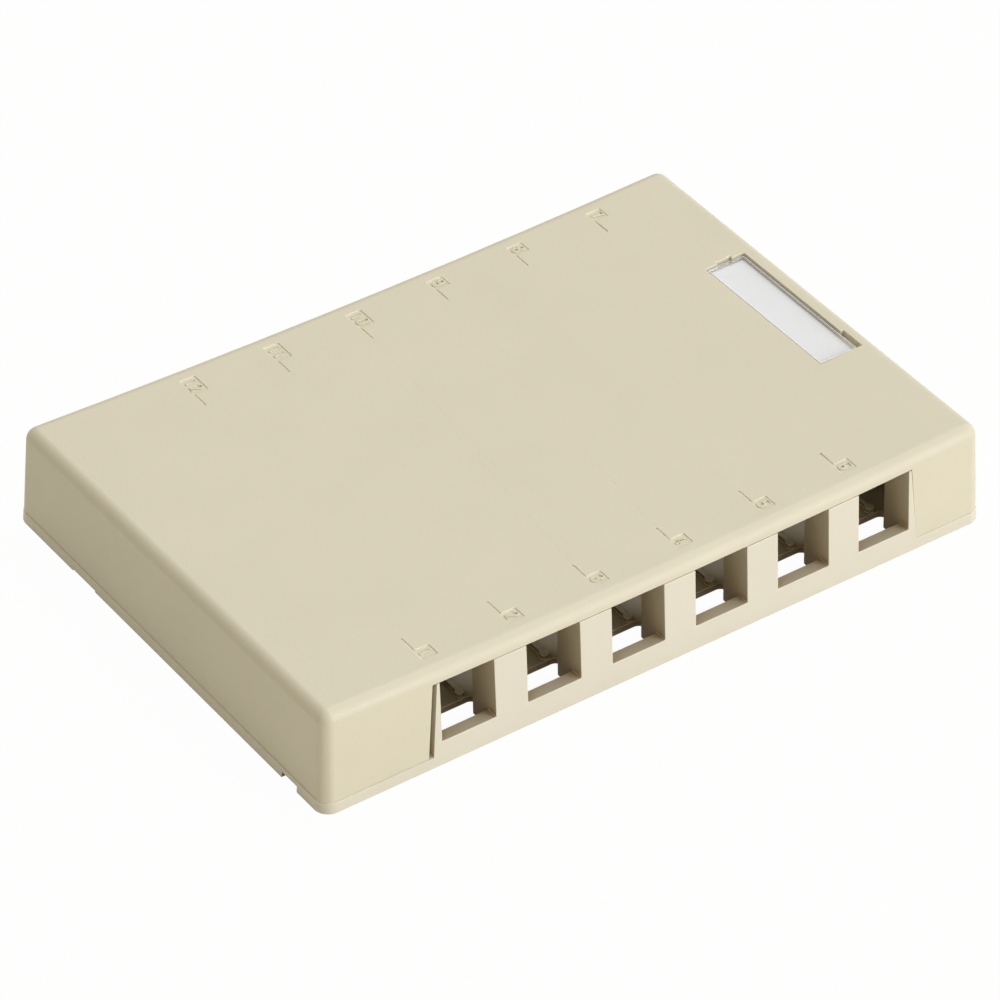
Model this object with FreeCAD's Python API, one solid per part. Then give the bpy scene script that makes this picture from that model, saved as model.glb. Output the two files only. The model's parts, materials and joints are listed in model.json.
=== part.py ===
"""Surface mount jack box with twelve ports: base, clip-fitted cover, label card and label window.

Millimetres. The origin is the centre of the base's underside. +X runs along the box's long
side, +Y from the front row of ports to the back row, and +Z up from the mounting surface.
"""
import FreeCAD, Part
import math
import os

from FreeCAD import Vector

X_AXIS = Vector(1, 0, 0)
Y_AXIS = Vector(0, 1, 0)
Z_AXIS = Vector(0, 0, 1)
ORIGIN = Vector(0, 0, 0)

# Whole box
BOX_LENGTH = 186.5          # along X, at the underside of the base
BOX_WIDTH = 129.0           # along Y, at the underside of the base
BOX_HEIGHT = 27.3           # at the two ends, where the top is highest
TOP_DIP = 1.8               # how far the moulded top sinks at mid-length
WALL = 2.0                  # cover wall
LONG_WALL_LEAN = 0.06       # draft of the front and back walls, mm in per mm up
END_WALL_LEAN = 0.037       # draft of the two end walls
CORNER_RADIUS = 3.1         # upright corners of the cover and the end edges of its top
LONG_EDGE_EXTRA = 0.1       # how much larger the radius is along the front and back edges
OVERCUT = 1.0               # how far a cutting shape runs past the faces it cuts

# Base plate and its rim
BASE_CORNER_RADIUS = 3.8    # upright corners of the rim
RIM_HEIGHT = 3.0            # the cover's foot stands on the rim at this height
RIM_STEP = 0.3              # how far the rim stands out past the cover's foot
RIM_DEPTH = 3.4             # rim, from its outer face to the sunk floor
FLOOR = 1.8                 # thickness of the floor inside the rim
UPSTAND_HEIGHT = 3.0        # locating ridge inside the cover, above the rim
UPSTAND_WALL = 1.2
COVER_CLEARANCE = 0.3       # between the cover and what stands inside it

# Port panels, front and back
PORTS_PER_SIDE = 6
PORT_PITCH = 23.46
PORT_WIDTH = 14.7
PORT_SILL = 6.5             # height of the bottom of each opening
PORT_GROUP_X = 4.95         # middle of each row of ports
LIP_HEIGHT = 23.7           # underside of the cover's lip over the ports, at the two ends
LIP_DIP = 1.5               # how far that lip sinks at mid-length
SEAM = 0.2                  # between the lip and the posts that stand under it
PANEL_WALL = 2.0
PANEL_MARGIN = 2.4          # panel past the first and the last opening, at the rim
PANEL_SIDE_LEAN = 0.085     # slant of the panel's two ends, mm in per mm up
SLOT_LEFT = 1.15            # open slot between the panel and the cover at the left
SLOT_RIGHT = 0.15           # the same joint at the right, nearly closed

# Jack guides and floor windows behind the panels
GUIDE_WALL = 1.3
GUIDE_DEPTH_TOP = 7.0       # guide, from the back of the panel
GUIDE_DEPTH_FOOT = 5.9
GUIDE_FOOT_GAP = 1.0        # guide's lower edge above the underside
WINDOW_DEPTH = 10.6         # window in the floor, from the back of the panel
WINDOW_BAR = 1.7            # bar left between two windows
WINDOW_RADIUS = 2.0
RIB_OFFSET = 8.0            # floor rib, from the middle of its port
RIB_LENGTH = 13.0
RIB_WALL = 1.0
RIB_HEIGHT = 1.2
RIB_END_RADIUS = 1.1
RIB_EDGE_GAP = 0.4          # floor window's edge to the rib's round end

# Fixing holes, cable entry and tie loops in the floor
SCREW_SPACING_X = 140.0
SCREW_SPACING_Y = 56.0
SCREW_HOLE_RADIUS = 2.2
SCREW_BOSS_RADIUS = 5.0
SCREW_BOSS_HEIGHT = 1.4
ENTRY_LENGTH = 50.0
ENTRY_WIDTH = 32.0
ENTRY_RADIUS = 4.0
ENTRY_RIDGE_WALL = 1.2
ENTRY_RIDGE_HEIGHT = 2.2
LOOP_SPACING_X = 92.0
LOOP_SPACING_Y = 24.0
LOOP_LENGTH = 9.0
LOOP_WALL = 2.0
LOOP_HEIGHT = 6.0
LOOP_OPENING = 3.4          # height of the hole that the tie goes through

# Snap catches: a tongue on the base, a ridge on the cover
CATCH_SPACING = 70.0
CATCH_LENGTH = 12.0
CATCH_WALL = 1.5
CATCH_HEIGHT = 13.0
CATCH_NOSE = 0.6
CATCH_TO_WALL = 1.5         # tongue's outer face to the cover's wall
HOOK_DEPTH = 0.6
HOOK_HEIGHT = 1.6
HOOK_UNDER_NOSE = 1.0       # ridge's top, below the nose's middle

# Pry notches under the two end edges of the base
PRY_Y = 13.8 - BOX_WIDTH / 2
PRY_LENGTH = 6.0
PRY_HEIGHT = 1.7
PRY_DEPTH = 3.0
RELIEF_Y = BOX_WIDTH / 2 - 29.5
RELIEF_LENGTH = 9.6
RELIEF_HEIGHT = 0.45

# Label window in the cover's top, its long side along Y
LABEL_X = BOX_LENGTH / 2 - 11.6
LABEL_LENGTH = 45.3
LABEL_WIDTH = 11.5
LABEL_DEPTH = 1.3           # recess, below the lower of its two long edges
LABEL_CORNER = 0.6
LABEL_FLOOR = 1.8           # cover left under the recess
LABEL_CLEARANCE = 0.2       # window to the recess, all round
CARD_THICKNESS = 0.25
CARD_MARGIN = 0.55          # card inside the window's outline
WINDOW_THICKNESS = 0.9
WINDOW_BEVEL = 0.25
FINGER_LENGTH = 7.1         # pry gap at the front of the recess's outer edge
FINGER_WIDTH = 0.8
LATCH_LENGTH = 4.0          # snap tab on the window's back edge
LATCH_REACH = 0.7

# Sunk panel for each port's number, and the groove that leads inwards from its corner
NUMBER_DEPTH = 0.3
NUMBER_PANEL_X = 4.2
NUMBER_PANEL_Y = 3.7        # for one digit
SECOND_DIGIT_Y = 2.3        # what a second digit adds
NUMBER_GROOVE_WIDTH = 0.4
NUMBER_GROOVE_LENGTH = 5.0
NUMBER_EDGE = 7.0           # panel's outer side, from the edge of the base
FRONT_NUMBER_SHIFT = -8.3   # panel's left side, from the middle of its port, in the front row
BACK_NUMBER_SHIFT = 1.9     # the same in the back row

# Worked out from the sizes above
CLEAR_OF_TOP = BOX_HEIGHT + TOP_DIP     # a height above every part of the box
FIRST_PORT_X = PORT_GROUP_X - PORT_PITCH * (PORTS_PER_SIDE - 1) / 2
PORT_CENTRES = [FIRST_PORT_X + PORT_PITCH * place for place in range(PORTS_PER_SIDE)]
POCKET_CORNER_RADIUS = BASE_CORNER_RADIUS - RIM_STEP
PANEL_LEFT = PORT_CENTRES[0] - PORT_WIDTH / 2 - PANEL_MARGIN
PANEL_RIGHT = PORT_CENTRES[-1] + PORT_WIDTH / 2 + PANEL_MARGIN
PANEL_BACK = BOX_WIDTH / 2 - LONG_WALL_LEAN * LIP_HEIGHT - RIM_STEP - PANEL_WALL


# Plain shapes

def box(x0, x1, y0, y1, z0, z1):
    return Part.makeBox(x1 - x0, y1 - y0, z1 - z0, Vector(x0, y0, z0))


def upright_edges(solid):
    """The edges of a block that run up, straight or slanted."""
    return [e for e in solid.Edges if abs(e.tangentAt(e.FirstParameter).z) > 0.9]


def rounded_box(x0, x1, y0, y1, z0, z1, radius):
    block = box(x0, x1, y0, y1, z0, z1)
    return block.makeFillet(radius, upright_edges(block))


def prism(points, direction):
    """Extrude the closed outline through the points."""
    outline = Part.makePolygon(list(points) + [points[0]])
    return Part.Face(outline).extrude(direction)


def half_length(inset, z):
    """Half the box's length at a height, set in from the base's outline by inset."""
    return BOX_LENGTH / 2 - inset - END_WALL_LEAN * z


def half_width(inset, z):
    return BOX_WIDTH / 2 - inset - LONG_WALL_LEAN * z


def tapered_wedge(inset, z0, z1, spare_width=0):
    """The box's tapered form between two heights, wider by spare_width at front and back."""
    low_x = half_length(inset, z0)
    high_x = half_length(inset, z1)
    low_y = half_width(inset, z0) + spare_width
    high_y = half_width(inset, z1) + spare_width
    block = Part.makeWedge(-low_x, z0, -low_y, -high_y, -high_x, low_x, z1, low_y, high_y, high_x)
    block.rotate(ORIGIN, X_AXIS, 90)
    return block


def tapered_block(inset, z0, z1, radius):
    block = tapered_wedge(inset, z0, z1)
    return block.makeFillet(radius, upright_edges(block))


def dip_radius(dip):
    """Radius of the arc that spans the box's length and sinks by dip in the middle."""
    return (BOX_LENGTH ** 2 / 4 + dip ** 2) / (2 * dip)


def above_dip(height, dip):
    """Everything over a shallow trough that is at height at the two ends and dips between."""
    radius = dip_radius(dip)
    reach = BOX_LENGTH / 2 + OVERCUT
    edge_z = height - dip + radius - math.sqrt(radius ** 2 - reach ** 2)
    lid_z = edge_z + BOX_HEIGHT
    arc = Part.Arc(Vector(-reach, -BOX_WIDTH, edge_z), Vector(0, -BOX_WIDTH, height - dip),
                   Vector(reach, -BOX_WIDTH, edge_z)).toShape()
    lid = Part.makePolygon([Vector(reach, -BOX_WIDTH, edge_z), Vector(reach, -BOX_WIDTH, lid_z),
                            Vector(-reach, -BOX_WIDTH, lid_z), Vector(-reach, -BOX_WIDTH, edge_z)])
    outline = Part.Wire([arc] + lid.Edges)
    return Part.Face(outline).extrude(Vector(0, 2 * BOX_WIDTH, 0))


def front_and_back(shape):
    """A shape made for the front row, and its mirror image in the back row."""
    return [shape, shape.mirror(ORIGIN, Y_AXIS)]


def both_ends(shape):
    """A shape made for the left end, and the same turned half round for the right end."""
    turned = shape.copy()
    turned.rotate(ORIGIN, Z_AXIS, 180)
    return [shape, turned]


# Cover

def cover_section(inset, radius):
    """Section across the cover at mid-length: leaning walls, flat top, rounded where they meet."""
    top_z = BOX_HEIGHT - TOP_DIP
    foot_z = RIM_HEIGHT - 2 * TOP_DIP
    lean = math.atan(LONG_WALL_LEAN)
    corner = Vector(0, half_width(inset, BOX_HEIGHT - TOP_DIP / 2), top_z)
    half_turn = math.pi / 4 - lean / 2
    tangent = radius * math.tan(half_turn)
    on_wall = corner + Vector(0, math.sin(lean), -math.cos(lean)) * tangent
    on_top = corner - Vector(0, tangent, 0)
    halfway = on_top + Vector(0, math.sin(half_turn), math.cos(half_turn) - 1) * radius
    foot = Vector(0, on_wall.y + LONG_WALL_LEAN * (on_wall.z - foot_z), foot_z)
    rounding = Part.Arc(on_wall, halfway, on_top).toShape()
    right_side = Part.Wire([Part.makeLine(foot, on_wall), rounding])
    left_side = right_side.mirror(ORIGIN, Y_AXIS)
    across_top = Part.makeLine(on_top, Vector(0, -on_top.y, top_z))
    across_foot = Part.makeLine(Vector(0, -foot.y, foot_z), foot)
    edges = Part.__sortEdges__(right_side.Edges + left_side.Edges + [across_top, across_foot])
    return Part.Face(Part.Wire(edges))


def cover_outside():
    """The section carried along the dip's arc, cut off by the end walls and rounded there."""
    section = cover_section(RIM_STEP, CORNER_RADIUS + LONG_EDGE_EXTRA)
    axis_point = Vector(0, 0, BOX_HEIGHT - TOP_DIP + dip_radius(TOP_DIP))
    swing = math.degrees(math.asin((BOX_LENGTH / 2 + OVERCUT) / dip_radius(TOP_DIP)))
    section.rotate(axis_point, Y_AXIS, -swing)
    bowed = section.revolve(axis_point, Y_AXIS, 2 * swing)
    outside = bowed.common(tapered_wedge(RIM_STEP, RIM_HEIGHT, CLEAR_OF_TOP, WALL)).Solids[0]
    ends = [face for face in outside.Faces if abs(face.normalAt(0, 0).x) > 0.9]
    edges = [edge for end in ends for edge in end.Edges if edge.BoundBox.ZMax > RIM_HEIGHT + WALL]
    return outside.makeFillet(CORNER_RADIUS, edges)


def cover_shell():
    hollow = tapered_block(RIM_STEP + WALL, RIM_HEIGHT - OVERCUT, CLEAR_OF_TOP, CORNER_RADIUS - WALL)
    return cover_outside().cut(hollow.cut(above_dip(BOX_HEIGHT - WALL, TOP_DIP)))


def panel_outline(left, right, y):
    """Front view of the panel: upright up to the rim's top, then narrowing upwards."""
    top = LIP_HEIGHT + LIP_DIP
    narrowing = PANEL_SIDE_LEAN * (top - RIM_HEIGHT)
    return [Vector(left, y, 0), Vector(right, y, 0), Vector(right, y, RIM_HEIGHT),
            Vector(right - narrowing, y, top), Vector(left + narrowing, y, top),
            Vector(left, y, RIM_HEIGHT)]


def port_cutout():
    """The opening in the cover's front wall that the base's port panel fills."""
    outline = panel_outline(PANEL_LEFT - SLOT_LEFT, PANEL_RIGHT + SLOT_RIGHT, -BOX_WIDTH)
    opening = prism(outline, Vector(0, BOX_WIDTH - PANEL_BACK + WALL, 0))
    return opening.cut(above_dip(LIP_HEIGHT, LIP_DIP))


def top_height(x):
    """Height of the cover's top at a place along the box."""
    return BOX_HEIGHT - TOP_DIP * (1 - (2 * x / BOX_LENGTH) ** 2)


LABEL_TOP = top_height(LABEL_X - LABEL_WIDTH / 2)


def label_block(inset, z0, z1, radius):
    """A block on the label's outline, set in from the recess by inset."""
    half_x = LABEL_WIDTH / 2 - inset
    half_y = LABEL_LENGTH / 2 - inset
    return rounded_box(LABEL_X - half_x, LABEL_X + half_x, -half_y, half_y, z0, z1, radius)


def label_recess():
    recess = label_block(0, LABEL_TOP - LABEL_DEPTH, CLEAR_OF_TOP, LABEL_CORNER)
    edge_x = LABEL_X + LABEL_WIDTH / 2
    edge_y = -LABEL_LENGTH / 2
    finger = box(edge_x - LABEL_CORNER, edge_x + FINGER_WIDTH, edge_y, edge_y + FINGER_LENGTH,
                 LABEL_TOP - LABEL_DEPTH, CLEAR_OF_TOP)
    z = latch_z()
    half = LATCH_LENGTH / 2 + LABEL_CLEARANCE
    latch_hole = box(LABEL_X - half, LABEL_X + half, 0, LABEL_LENGTH / 2 + LATCH_REACH, z, CLEAR_OF_TOP)
    return recess.fuse([finger, latch_hole])


def latch_z():
    """Underside of the window, where its snap tab is."""
    return LABEL_TOP - LABEL_DEPTH + CARD_THICKNESS


def label_pad():
    """Thicker cover under the recess."""
    z1 = LABEL_TOP - LABEL_DEPTH
    return label_block(-WALL, z1 - LABEL_FLOOR, z1, LABEL_CORNER + WALL)


def hook_ridge(y):
    """Ridge inside the cover's left end wall that the base's tongue snaps over."""
    z1 = RIM_HEIGHT + CATCH_HEIGHT - HOOK_UNDER_NOSE - CATCH_NOSE
    z0 = z1 - HOOK_HEIGHT
    wall_x = -cover_inner_x(z1)
    points = [Vector(wall_x - WALL / 2, 0, z0 - HOOK_DEPTH), Vector(wall_x, 0, z0 - HOOK_DEPTH),
              Vector(wall_x + HOOK_DEPTH, 0, z0), Vector(wall_x + HOOK_DEPTH, 0, z1),
              Vector(wall_x - WALL / 2, 0, z1)]
    ridge = prism(points, Vector(0, CATCH_LENGTH, 0))
    ridge.translate(Vector(0, y - CATCH_LENGTH / 2, 0))
    return ridge


def cover_inner_x(z):
    """Half length inside the cover's end walls at a height."""
    return half_length(RIM_STEP + WALL, z)


def number_recess(number, x, side):
    """Outline, seen from above, of one sunk number and its groove: front row (-1) or back row (1)."""
    panel_y = NUMBER_PANEL_Y + SECOND_DIGIT_Y * (len(str(number)) - 1)
    outer = side * (BOX_WIDTH / 2 - NUMBER_EDGE)
    inner = outer - side * panel_y
    tip = inner - side * NUMBER_GROOVE_LENGTH
    panel = box(x, x + NUMBER_PANEL_X, min(outer, inner), max(outer, inner), 0, CLEAR_OF_TOP)
    groove = box(x, x + NUMBER_GROOVE_WIDTH, min(outer, tip), max(outer, tip), 0, CLEAR_OF_TOP)
    return panel.fuse(groove)


def number_recesses():
    """All twelve, sunk to an even depth below the dipped top. Opposite ports add up to 13."""
    outlines = []
    for place, x in enumerate(PORT_CENTRES):
        outlines.append(number_recess(place + 1, x + FRONT_NUMBER_SHIFT, -1))
        outlines.append(number_recess(2 * PORTS_PER_SIDE - place, x + BACK_NUMBER_SHIFT, 1))
    sunk_top = above_dip(BOX_HEIGHT - NUMBER_DEPTH, TOP_DIP)
    return [outline.removeSplitter().common(sunk_top) for outline in outlines]


def make_cover():
    cover = cover_shell()
    hooks = [end for side in (-1, 1) for end in both_ends(hook_ridge(side * CATCH_SPACING / 2))]
    cover = cover.fuse([label_pad()] + hooks)
    cuts = front_and_back(port_cutout()) + [label_recess()] + number_recesses()
    return cover.cut(cuts).removeSplitter()


# Label

def make_label_card():
    z = LABEL_TOP - LABEL_DEPTH
    return label_block(LABEL_CLEARANCE + CARD_MARGIN, z, z + CARD_THICKNESS, LABEL_CORNER)


def make_label_window():
    z0 = latch_z()
    z1 = z0 + WINDOW_THICKNESS
    pane = label_block(LABEL_CLEARANCE, z0, z1, LABEL_CORNER)
    rim = [e for e in pane.Edges if e.BoundBox.ZMin > z1 - WINDOW_BEVEL / 2]
    pane = pane.makeChamfer(WINDOW_BEVEL, rim)
    half_y = LABEL_LENGTH / 2
    tab = box(LABEL_X - LATCH_LENGTH / 2, LABEL_X + LATCH_LENGTH / 2,
              half_y - LABEL_CLEARANCE - 2 * LABEL_CORNER, half_y + LATCH_REACH - LABEL_CLEARANCE,
              z0, z1 - 2 * WINDOW_BEVEL)
    return pane.fuse(tab)


# Base

def base_plate():
    plate = tapered_block(0, 0, RIM_HEIGHT, BASE_CORNER_RADIUS)
    half_x = BOX_LENGTH / 2 - RIM_DEPTH
    half_y = PANEL_BACK
    pocket = rounded_box(-half_x, half_x, -half_y, half_y, FLOOR, RIM_HEIGHT + OVERCUT,
                         POCKET_CORNER_RADIUS)
    return plate.cut(pocket)


def panel_ends():
    """Block between the panel's two slanted ends, which trims the panel and its guides."""
    return prism(panel_outline(PANEL_LEFT, PANEL_RIGHT, -BOX_WIDTH / 2), Vector(0, BOX_WIDTH / 2, 0))


def front_panel():
    """The front port panel: flush with the rim at its foot and with the cover at its lip."""
    top = LIP_HEIGHT + LIP_DIP
    foot_y = -half_width(0, RIM_HEIGHT)
    lip_y = -half_width(RIM_STEP, LIP_HEIGHT)
    slope = (lip_y - foot_y) / (LIP_HEIGHT - RIM_HEIGHT)
    top_y = foot_y + slope * (top - RIM_HEIGHT)
    section = [Vector(PANEL_LEFT, foot_y, FLOOR), Vector(PANEL_LEFT, foot_y, RIM_HEIGHT),
               Vector(PANEL_LEFT, top_y, top), Vector(PANEL_LEFT, -PANEL_BACK, top),
               Vector(PANEL_LEFT, -PANEL_BACK, FLOOR)]
    return prism(section, Vector(PANEL_RIGHT - PANEL_LEFT, 0, 0))


def port_guide(x):
    """The wall behind the panel that guides a jack, its outer face at x."""
    top = LIP_HEIGHT + LIP_DIP
    section = [Vector(x, -PANEL_BACK - PANEL_WALL / 2, GUIDE_FOOT_GAP),
               Vector(x, -PANEL_BACK - PANEL_WALL / 2, top),
               Vector(x, -PANEL_BACK + GUIDE_DEPTH_TOP, top),
               Vector(x, -PANEL_BACK + GUIDE_DEPTH_FOOT, GUIDE_FOOT_GAP)]
    return prism(section, Vector(GUIDE_WALL, 0, 0))


def port_opening(x):
    return box(x - PORT_WIDTH / 2, x + PORT_WIDTH / 2, -BOX_WIDTH, -PANEL_BACK + GUIDE_DEPTH_TOP + OVERCUT,
               PORT_SILL, CLEAR_OF_TOP)


def floor_window(x):
    """The window in the floor behind one port, with rounded inner corners."""
    half = (PORT_PITCH - WINDOW_BAR) / 2
    y0 = -PANEL_BACK
    window = box(x - half, x + half, y0, y0 + WINDOW_DEPTH, -OVERCUT, RIM_HEIGHT + OVERCUT)
    inner = [e for e in upright_edges(window) if e.CenterOfMass.y > y0 + WINDOW_DEPTH / 2]
    return window.makeFillet(WINDOW_RADIUS, inner)


def floor_rib(x):
    """Low rib running in from near the edge of a floor window, with a round end."""
    y0 = -PANEL_BACK + WINDOW_DEPTH + RIB_EDGE_GAP + RIB_END_RADIUS
    rib = box(x - RIB_WALL / 2, x + RIB_WALL / 2, y0, y0 + RIB_LENGTH, FLOOR / 2, FLOOR + RIB_HEIGHT)
    end = Part.makeCylinder(RIB_END_RADIUS, RIB_HEIGHT + FLOOR / 2, Vector(x, y0, FLOOR / 2))
    return rib.fuse(end)


def upstand():
    """Locating ridge just inside the cover's left end wall, broken at the two catches."""
    x = -(cover_inner_x(RIM_HEIGHT) - COVER_CLEARANCE - END_WALL_LEAN * UPSTAND_HEIGHT)
    half_y = PANEL_BACK - POCKET_CORNER_RADIUS
    ridge = box(x, x + UPSTAND_WALL, -half_y, half_y, FLOOR, RIM_HEIGHT + UPSTAND_HEIGHT)
    gap = CATCH_LENGTH / 2 + WALL
    for side in (-1, 1):
        y = side * CATCH_SPACING / 2
        notch = box(x - OVERCUT, x + UPSTAND_WALL + OVERCUT, y - gap, y + gap, RIM_HEIGHT, BOX_HEIGHT)
        ridge = ridge.cut(notch)
    return ridge


def catch_tongue(y):
    """Springy tongue with a nose, which the cover's ridge snaps under at the left end."""
    top = RIM_HEIGHT + CATCH_HEIGHT
    nose_z = top - CATCH_NOSE
    outer = -(cover_inner_x(nose_z) - CATCH_TO_WALL)
    nose_x = outer - CATCH_NOSE
    inner = outer + CATCH_WALL
    points = [Vector(outer, 0, FLOOR / 2), Vector(inner, 0, FLOOR / 2), Vector(inner, 0, top),
              Vector(outer, 0, top), Vector(nose_x, 0, nose_z), Vector(nose_x, 0, nose_z - CATCH_NOSE),
              Vector(outer, 0, nose_z - 2 * CATCH_NOSE)]
    tongue = prism(points, Vector(0, CATCH_LENGTH, 0))
    tongue.translate(Vector(0, y - CATCH_LENGTH / 2, 0))
    return tongue


def tie_loop(x, y):
    """Bridge on the floor that a cable tie goes through."""
    block = rounded_box(x - LOOP_LENGTH / 2, x + LOOP_LENGTH / 2, y - LOOP_WALL / 2, y + LOOP_WALL / 2,
                        FLOOR / 2, FLOOR + LOOP_HEIGHT, LOOP_WALL / 4)
    half = LOOP_LENGTH / 2 - LOOP_WALL
    hole = box(x - half, x + half, y - LOOP_WALL, y + LOOP_WALL, FLOOR, FLOOR + LOOP_OPENING)
    return block.cut(hole)


def cable_entry(grow, z0, z1):
    """Block on the outline of the cable entry in the middle of the floor, grown all round."""
    half_x = ENTRY_LENGTH / 2 + grow
    half_y = ENTRY_WIDTH / 2 + grow
    return rounded_box(-half_x, half_x, -half_y, half_y, z0, z1, ENTRY_RADIUS + grow)


def pry_notches():
    """Notches under the left end edge: a deep one for a blade and a shallow relief."""
    x = -BOX_LENGTH / 2
    pry = box(x - OVERCUT, x + PRY_DEPTH, PRY_Y - PRY_LENGTH / 2, PRY_Y + PRY_LENGTH / 2,
              -OVERCUT, PRY_HEIGHT)
    relief = box(x - OVERCUT, x + PRY_DEPTH, RELIEF_Y - RELIEF_LENGTH / 2, RELIEF_Y + RELIEF_LENGTH / 2,
                 -OVERCUT, RELIEF_HEIGHT)
    return [pry, relief]


def screw_cylinders(radius, z0, z1):
    """A cylinder at each of the four fixing screws."""
    corners = [(x, y) for x in (-SCREW_SPACING_X / 2, SCREW_SPACING_X / 2)
               for y in (-SCREW_SPACING_Y / 2, SCREW_SPACING_Y / 2)]
    return [Part.makeCylinder(radius, z1 - z0, Vector(x, y, z0)) for x, y in corners]


def port_row():
    """The front panel with its six openings and the guides behind them."""
    panel = front_panel()
    guides = []
    for x in PORT_CENTRES:
        guides.append(port_guide(x + PORT_WIDTH / 2))
        guides.append(port_guide(x - PORT_WIDTH / 2 - GUIDE_WALL))
    row = panel.fuse(guides).common(panel_ends())
    return row.cut([port_opening(x) for x in PORT_CENTRES] + [above_dip(LIP_HEIGHT - SEAM, LIP_DIP)])


def base_fittings():
    """Everything that stands on the floor: ribs, ridges, catches, tie loops and screw bosses."""
    fittings = both_ends(upstand())
    for x in PORT_CENTRES:
        fittings += front_and_back(floor_rib(x + RIB_OFFSET))
    for side in (-1, 1):
        fittings += both_ends(catch_tongue(side * CATCH_SPACING / 2))
        for end in (-1, 1):
            fittings.append(tie_loop(end * LOOP_SPACING_X / 2, side * LOOP_SPACING_Y / 2))
    fittings += screw_cylinders(SCREW_BOSS_RADIUS, FLOOR / 2, FLOOR + SCREW_BOSS_HEIGHT)
    fittings.append(cable_entry(ENTRY_RIDGE_WALL, FLOOR / 2, FLOOR + ENTRY_RIDGE_HEIGHT))
    return fittings


def make_base():
    windows = [half for x in PORT_CENTRES for half in front_and_back(floor_window(x))]
    plate = base_plate().cut(windows)
    base = plate.fuse(front_and_back(port_row()) + base_fittings())
    holes = screw_cylinders(SCREW_HOLE_RADIUS, -OVERCUT, BOX_HEIGHT)
    holes.append(cable_entry(0, -OVERCUT, BOX_HEIGHT))
    for notch in pry_notches():
        holes += both_ends(notch)
    return base.cut(holes).removeSplitter()


def export(shape, name):
    print(name, "solids", len(shape.Solids), "valid", shape.isValid(), "volume", round(shape.Volume, 1))
    shape.exportStep("parts/" + name + ".step")


def main():
    os.makedirs("parts", exist_ok=True)
    export(make_base(), "base")
    export(make_cover(), "cover")
    export(make_label_card(), "label_card")
    export(make_label_window(), "label_window")


main()
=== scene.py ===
"""Looks of a surface mount jack box: ivory moulded base and cover, raised port numbers in their
sunk panels, a paper card under a clear clip-fitted window, and a plain studio round the box.

Metres. The axes are the frame's: +X along the box, +Y from the front row of ports to the back
row, +Z up from the surface that the box is fixed on.
"""
import json
import math
from collections import deque

import bmesh
import bpy
from bpy.props import FloatProperty, FloatVectorProperty, PointerProperty
from mathutils import Matrix, Vector


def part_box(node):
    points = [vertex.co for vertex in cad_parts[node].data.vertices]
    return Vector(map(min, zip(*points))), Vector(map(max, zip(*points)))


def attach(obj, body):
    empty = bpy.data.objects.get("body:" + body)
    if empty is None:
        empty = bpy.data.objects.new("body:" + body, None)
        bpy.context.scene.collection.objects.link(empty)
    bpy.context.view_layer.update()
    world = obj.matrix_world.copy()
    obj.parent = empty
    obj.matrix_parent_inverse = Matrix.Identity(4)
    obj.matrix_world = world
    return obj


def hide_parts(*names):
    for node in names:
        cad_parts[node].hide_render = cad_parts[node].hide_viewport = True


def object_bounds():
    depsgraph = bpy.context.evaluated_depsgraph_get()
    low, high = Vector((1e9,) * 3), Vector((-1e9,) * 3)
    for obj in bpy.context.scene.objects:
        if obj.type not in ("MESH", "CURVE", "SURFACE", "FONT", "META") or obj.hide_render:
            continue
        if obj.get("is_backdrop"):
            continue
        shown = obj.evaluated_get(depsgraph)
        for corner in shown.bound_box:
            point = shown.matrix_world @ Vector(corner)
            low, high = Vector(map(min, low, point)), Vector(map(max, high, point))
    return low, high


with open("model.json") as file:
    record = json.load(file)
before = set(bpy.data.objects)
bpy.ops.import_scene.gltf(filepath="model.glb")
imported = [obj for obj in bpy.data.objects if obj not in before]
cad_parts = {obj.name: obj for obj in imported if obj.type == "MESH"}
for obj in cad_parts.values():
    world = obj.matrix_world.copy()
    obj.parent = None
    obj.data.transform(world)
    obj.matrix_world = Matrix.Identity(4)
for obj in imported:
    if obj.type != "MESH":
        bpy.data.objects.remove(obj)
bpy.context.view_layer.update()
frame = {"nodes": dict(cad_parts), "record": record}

bl_info = {
    "name": "Surface mount jack box",
    "version": (1, 0, 0),
    "blender": (4, 5, 0),
    "location": "View3D > Sidebar > Jack Box",
    "description": "Builds a twelve-port surface mount jack box and a studio for it",
    "category": "Object",
}

MM = 0.001
SHARP_ANGLE = math.radians(32)          # edges sharper than this are rounded
SAME_FACE_ANGLE = math.radians(10)      # triangles of one flat face: largest angle between them,
SAME_FACE_DISTANCE = 0.0005 * MM        # and how far one may stand out of the other's plane
MERGE_DISTANCE = 0.01 * MM
FOOT_HEIGHT = 0.06 * MM                 # points this near to the lowest one are level with it
FLAT_FACING = 0.9                       # part of a normal along Z, beyond which a face is level
FRONT_ROW = -1                          # the two rows of ports, by their side along Y
BACK_ROW = 1


def port_boxes(row):
    """The record's port openings of one row, in order along +X."""
    openings = frame["record"]["physics"]["openings"]
    boxes = [o for o in openings if o["name"].startswith("port_")]
    in_row = [o for o in boxes if row * (o["box_m"][0][1] + o["box_m"][1][1]) > 0]
    return sorted(in_row, key=lambda o: o["box_m"][0][0])


def port_numbers(row):
    """(number, middle of its port) for each port of a row, in order along +X."""
    numbers = []
    for opening in port_boxes(row):
        low, high = opening["box_m"]
        numbers.append((int(opening["name"].split("_")[1]), (low[0] + high[0]) / 2))
    return numbers


# Settings that a user would change

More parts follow.
